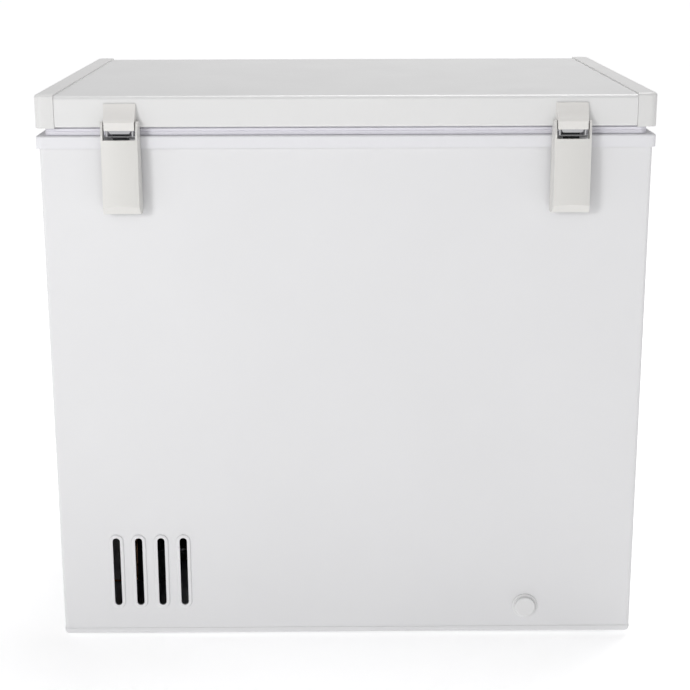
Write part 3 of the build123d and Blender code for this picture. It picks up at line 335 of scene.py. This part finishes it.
def islands(node_name):
    """The box of every separate solid in a CAD node, lowest X first."""
    mesh = NODES[node_name].data
    parent = list(range(len(mesh.vertices)))

    def root(i):
        while parent[i] != i:
            parent[i] = parent[parent[i]]
            i = parent[i]
        return i

    place = {}
    for v in mesh.vertices:
        key = tuple(round(c, 6) for c in v.co)
        parent[root(v.index)] = root(place.setdefault(key, v.index))
    for e in mesh.edges:
        parent[root(e.vertices[0])] = root(e.vertices[1])
    boxes = {}
    for v in mesh.vertices:
        lo, hi = boxes.setdefault(root(v.index), (v.co.copy(), v.co.copy()))
        for k in range(3):
            lo[k], hi[k] = min(lo[k], v.co[k]), max(hi[k], v.co[k])
    return sorted(boxes.values(), key=lambda b: (round(b[0].x, 4), round(b[0].z, 4)))


# ---------------------------------------------------------------- lid gasket

lo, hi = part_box("lid_gasket")
G_HALF = ((hi[0] - lo[0]) / 2, (hi[1] - lo[1]) / 2)
G_MID = ((hi[0] + lo[0]) / 2, (hi[1] + lo[1]) / 2)
G_CORNER, G_INNER_CORNER = 12 * MM, 3 * MM
G_TALL = hi[2] - lo[2]
# (inset from the outer edge in mm, share of the height): magnet pocket, neck, fold, dart
GASKET_PROFILE = (
    (0.5, 0.00), (0.1, 0.04), (0.0, 0.10), (0.0, 0.40), (0.2, 0.46), (0.7, 0.50),
    (1.1, 0.52), (1.1, 0.54), (0.8, 0.56), (0.3, 0.60), (0.1, 0.66), (0.1, 0.82),
    (0.5, 0.87), (1.8, 0.90), (3.4, 0.91), (3.4, 1.00), (18.6, 1.00), (18.6, 0.91),
    (20.2, 0.88), (21.4, 0.80), (21.8, 0.70), (21.4, 0.60), (19.8, 0.55), (17.8, 0.52),
    (17.8, 0.47), (19.4, 0.44), (20.6, 0.38), (21.0, 0.28), (21.0, 0.12), (20.6, 0.04),
    (19.8, 0.00),
)
gasket = Build()
gasket.loft([frame_loop(G_HALF[0] - inset * MM, G_HALF[1] - inset * MM,
                        max(G_CORNER - inset * MM, G_INNER_CORNER), G_MID,
                        lo[2] + share * G_TALL)
             for inset, share in GASKET_PROFILE], closed=True)
piece("gasket_bellows", gasket.verts, gasket.faces, "lid", "gasket_vinyl", ["lid_gasket"])

# ---------------------------------------------------------------- wire basket

lo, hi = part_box("basket")
RIM_R, WIRE_R, HANG_R = 2.6 * MM, 1.5 * MM, 1.5 * MM
HOOK_REACH = 17.5 * MM                   # from a long rim out to the end of its hanger
RIM_BEND, WIRE_BEND, HANGER_BEND = 16 * MM, 9 * MM, 6 * MM
WIRE_MARGIN = 0.7 * RIM_BEND             # from a corner of the basket to its first wire
ACROSS, ALONG = 12, 9                    # wires that run across and along the basket
BAND_SHARES = (0.36, 0.70)               # heights of the two bands round the sides
HANGER_INSET = 26 * MM                   # from an end of the basket to its hangers' legs
LEDGE_Z, HANGER_GAP = 776.0 * MM, 0.3 * MM
bx0, bx1 = lo[0] + RIM_R, hi[0] - RIM_R
by0, by1 = lo[1] + HOOK_REACH + RIM_R, hi[1] - HOOK_REACH - RIM_R
bz0, bz1 = lo[2] + 2 * WIRE_R, hi[2] - RIM_R
basket = Build()


def spread(start, end, count):
    """Evenly spaced places between two walls, clear of the corners."""
    first, run = start + WIRE_MARGIN, end - start - 2 * WIRE_MARGIN
    return [first + run * k / (count - 1) for k in range(count)]


def ring_corners(x0, x1, y0, y1, z):
    return [(x0, y0, z), (x1, y0, z), (x1, y1, z), (x0, y1, z)]


basket.wire(ring_corners(bx0, bx1, by0, by1, bz1), RIM_R, RIM_BEND, closed=True, sides=14)
ix0, ix1, iy0, iy1 = (bx0 + RIM_R + WIRE_R, bx1 - RIM_R - WIRE_R,
                      by0 + RIM_R + WIRE_R, by1 - RIM_R - WIRE_R)
for share in BAND_SHARES:
    z = bz0 + share * (bz1 - bz0)
    basket.wire(ring_corners(ix0 - 2 * WIRE_R, ix1 + 2 * WIRE_R, iy0 - 2 * WIRE_R,
                             iy1 + 2 * WIRE_R, z), WIRE_R, RIM_BEND, closed=True)
for x in spread(ix0, ix1, ACROSS):
    basket.wire([(x, iy0, bz1), (x, iy0, bz0), (x, iy1, bz0), (x, iy1, bz1)],
                WIRE_R, WIRE_BEND)
for y in spread(iy0, iy1, ALONG):
    z = bz0 - WIRE_R                     # the long wires lie lower, welded into the others
    basket.wire([(ix0, y, bz1), (ix0, y, z), (ix1, y, z), (ix1, y, bz1)],
                WIRE_R, WIRE_BEND)
for rim_y, edge_y in ((by0, lo[1] + HANG_R), (by1, hi[1] - HANG_R)):
    z = LEDGE_Z + HANGER_GAP + HANG_R
    xs = (bx0 + HANGER_INSET, bx1 - HANGER_INSET)
    basket.wire([(xs[0], rim_y, z), (xs[0], edge_y, z), (xs[1], edge_y, z),
                 (xs[1], rim_y, z)], HANG_R, HANGER_BEND)
    for share in (1 / 3, 2 / 3):
        x = xs[0] + share * (xs[1] - xs[0])
        basket.wire([(x, rim_y, z), (x, edge_y, z)], HANG_R)
piece("wire_basket", basket.verts, basket.faces, "basket", "basket_wire", ["basket"])

# ---------------------------------------------------------------- screws

HEAD_TALL = 2.0 * MM
RECESS_DEEP = 1.2 * MM
TIP_R, TIP_TALL, POINT_TALL = 0.01 * MM, 0.4 * MM, 2 * MM
DOME_STEPS = 6
# Shares of the head's radius: shank, flat of the dome, and the recess's reach and half
# width at its mouth and on its floor
SHANK, DOME_FLAT = 0.45, 0.62
MOUTH, RECESS_FLOOR = (0.52, 0.12), (0.30, 0.09)


def circle(radius, y, sides=28):
    return [Vector((radius * math.cos(t), y, radius * math.sin(t)))
            for t in (2 * math.pi * k / sides for k in range(sides))]


def cross(reach_out, half, y):
    """Outline of a cross recess, corner by corner."""
    out = []
    for k in range(4):
        a = math.pi / 2 * k
        for u, v in ((reach_out, -half), (reach_out, half), (half, half)):
            out.append(Vector((u * math.cos(a) - v * math.sin(a), y,
                               u * math.sin(a) + v * math.cos(a))))
    return out


def pan_screw(shape, low, high, facing):
    """A pan-head screw with a cross recess; its head looks along facing times Y."""
    middle = Vector(((low.x + high.x) / 2, 0, (low.z + high.z) / 2))
    head_r = (high.x - low.x) / 2
    top = high.y if facing > 0 else low.y
    tip = low.y if facing > 0 else high.y
    shank = SHANK * head_r
    dome = 0.85 * HEAD_TALL              # the rest of the head is its straight edge

    def at(points):
        return [middle + Vector((p.x, top + facing * p.y, p.z)) for p in points]

    length = abs(top - tip)
    side = [circle(TIP_R, -length), circle(shank / 2, -length + TIP_TALL),
            circle(shank, -length + POINT_TALL), circle(shank, -HEAD_TALL),
            circle(head_r * 0.97, -HEAD_TALL), circle(head_r, -dome)]
    for k in range(1, DOME_STEPS + 1):
        t = math.pi / 2 * k / DOME_STEPS
        side.append(circle(head_r * (DOME_FLAT + (1 - DOME_FLAT) * math.cos(t)),
                           -dome * (1 - math.sin(t))))
    shape.loft([at(ring) for ring in side], capped=False)
    rim, mouth = side[-1], cross(MOUTH[0] * head_r, MOUTH[1] * head_r, 0)
    flat = rim + mouth
    tris = tessellate_polygon([[Vector((p.x, p.z, 0)) for p in rim],
                               [Vector((p.x, p.z, 0)) for p in mouth]])
    shape.add(at(flat), tris)
    floor_of_recess = cross(RECESS_FLOOR[0] * head_r, RECESS_FLOOR[1] * head_r,
                            -RECESS_DEEP)
    shape.loft([at(mouth), at(floor_of_recess)], capped=False)
    shape.add(at(floor_of_recess), [tuple(range(len(floor_of_recess)))])


for node_name, facing in (("grille_screws", 1), ("hinge_body_screws", 1),
                          ("hinge_lid_screws", 1), ("catch_screws", -1)):
    shape = Build()
    for low, high in islands(node_name):
        pan_screw(shape, low, high, facing)
    body = "lid" if node_name == "hinge_lid_screws" else "cabinet"
    piece(node_name.replace("screws", "pan_screws"), shape.verts, shape.faces, body,
          SLOT_OF[node_name], [node_name])

# ---------------------------------------------------------------- thermostat dial marks

lo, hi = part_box("thermostat_knob")
dial = Vector(((lo[0] + hi[0]) / 2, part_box("service_grille")[1][1], (lo[2] + hi[2]) / 2))
dial_r = (hi[0] - lo[0]) / 2
MARKS, MARK_PROUD, MARK_HALF = 10, 0.25 * MM, 0.45 * MM
DIAL_START, DIAL_SWEEP = 90, 270         # degrees
MARK_GAP = 3 * MM                        # from the knob to the marks
SHORTEST, LONGER_BY = 2.0 * MM, 0.45 * MM    # each mark is longer than the one before
marks = Build()
for k in range(MARKS):
    turn = math.radians(DIAL_START + DIAL_SWEEP * k / (MARKS - 1))
    out = Vector((math.cos(turn), 0, math.sin(turn)))
    side = Vector((-math.sin(turn), 0, math.cos(turn)))
    start = dial_r + MARK_GAP
    end = start + SHORTEST + LONGER_BY * k
    foot = [dial + out * r + side * s * MARK_HALF for r, s in
            ((start, -1), (end - MARK_HALF, -1), (end, 0), (end - MARK_HALF, 1), (start, 1))]
    top = [p + Vector((0, MARK_PROUD, 0)) for p in foot]
    marks.loft([foot, top])
piece("dial_marks", marks.verts, marks.faces, "cabinet", "black_plastic")

# ---------------------------------------------------------------- stage, light, camera

# The paper glows more towards the horizon, so that it burns out evenly to white.
NEAR_GLOW, FAR_GLOW = 0.38, 0.66
NEAR, FAR = 1.0, 5.0                     # distances from the freezer's middle
HALF_FLOOR, FLOOR_DROP = 60.0, 0.00005   # the drop keeps the feet clear of the paper
floor_mesh = bpy.data.meshes.new("studio_floor")
floor_mesh.from_pydata([(-HALF_FLOOR, -HALF_FLOOR, 0), (HALF_FLOOR, -HALF_FLOOR, 0),
                        (HALF_FLOOR, HALF_FLOOR, 0), (-HALF_FLOOR, HALF_FLOOR, 0)], [],
                       [(0, 1, 2, 3)])
floor = bpy.data.objects.new("studio_floor", floor_mesh)
floor.location = (0, 0, CAD_BOX[0][2] - FLOOR_DROP)
bpy.context.scene.collection.objects.link(floor)
paper = Finish("studio_paper", ior=1.3)
paper.colour(paper.noise(0.7, 2), (0.93, 0.93, 0.93), (0.95, 0.95, 0.95))
paper.gloss(paper.noise(2, 2), 0.92, 0.98)
paper.shader.inputs["Emission Color"].default_value = (1, 1, 1, 1)
reach = paper.node("ShaderNodeVectorMath", operation="LENGTH")
paper.link(paper.coord, reach.inputs[0])
glow = paper.node("ShaderNodeMapRange")
for socket, value in (("From Min", NEAR), ("From Max", FAR),
                      ("To Min", NEAR_GLOW), ("To Max", FAR_GLOW)):
    glow.inputs[socket].default_value = value
paper.link(reach.outputs["Value"], glow.inputs["Value"])
paper.link(glow.outputs["Result"], paper.shader.inputs["Emission Strength"])
floor_mesh.materials.append(paper.mat)

# The sky is white at the horizon and fades to a grey overhead.
HORIZON, ZENITH = 1.0, 0.38
FADE_FROM, FADE_TO = 0.02, 0.08          # Z of a direction in the sky
world = bpy.data.worlds.new("studio")
bpy.context.scene.world = world
world.use_nodes = True
nodes = world.node_tree.nodes
sky = nodes["Background"]
sky.inputs["Color"].default_value = (0.99, 0.985, 1.0, 1)
direction = nodes.new("ShaderNodeSeparateXYZ")
fade = nodes.new("ShaderNodeMapRange")
for socket, value in (("From Min", FADE_FROM), ("From Max", FADE_TO),
                      ("To Min", HORIZON), ("To Max", ZENITH)):
    fade.inputs[socket].default_value = value
world.node_tree.links.new(nodes.new("ShaderNodeTexCoord").outputs["Generated"],
                          direction.inputs["Vector"])
world.node_tree.links.new(direction.outputs["Z"], fade.inputs["Value"])
world.node_tree.links.new(fade.outputs["Result"], sky.inputs["Strength"])


def softbox(name, place, target, size, power):
    """A white rectangular lamp at a place, aimed at a target."""
    data = bpy.data.lights.new(name, "AREA")
    data.shape = "RECTANGLE"
    data.size, data.size_y = size
    data.energy = power
    lamp = bpy.data.objects.new(name, data)
    aim = Vector(target) - Vector(place)
    lamp.matrix_world = (Matrix.Translation(place)
                         @ aim.to_track_quat("-Z", "Y").to_matrix().to_4x4())
    bpy.context.scene.collection.objects.link(lamp)


softbox("key", (-2.1, -3.7, 1.75), (0, 0, 0.6), (0.9, 0.9), 54)
softbox("top_fill", (0.6, 1.2, 4.0), (0, 0, 0.85), (2.6, 2.6), 104)

# Place, turn in radians and lens, as fitted to the straight edges of the lid and body
CAMERA_PLACE = (-0.0188, -2.6329, 1.1259)
PITCH, YAW, ROLL = 0.26563, 0.00697, -0.00275
cp, sp, cy, sy = math.cos(PITCH), math.sin(PITCH), math.cos(YAW), math.sin(YAW)
forward = Vector((sy * cp, cy * cp, -sp))
right = Vector((cy, -sy, 0))
up = right.cross(forward)
rolled_right = math.cos(ROLL) * right + math.sin(ROLL) * up
rolled_up = -math.sin(ROLL) * right + math.cos(ROLL) * up
turned = Matrix((rolled_right, rolled_up, -forward)).transposed().to_4x4()
lens = bpy.data.cameras.new("camera")
lens.sensor_width, lens.lens = 36, 80
lens.clip_start, lens.clip_end = 0.05, 200
camera = bpy.data.objects.new("camera", lens)
camera.matrix_world = Matrix.Translation(CAMERA_PLACE) @ turned
bpy.context.scene.collection.objects.link(camera)
bpy.context.scene.camera = camera
bpy.context.scene.view_settings.view_transform = "Standard"
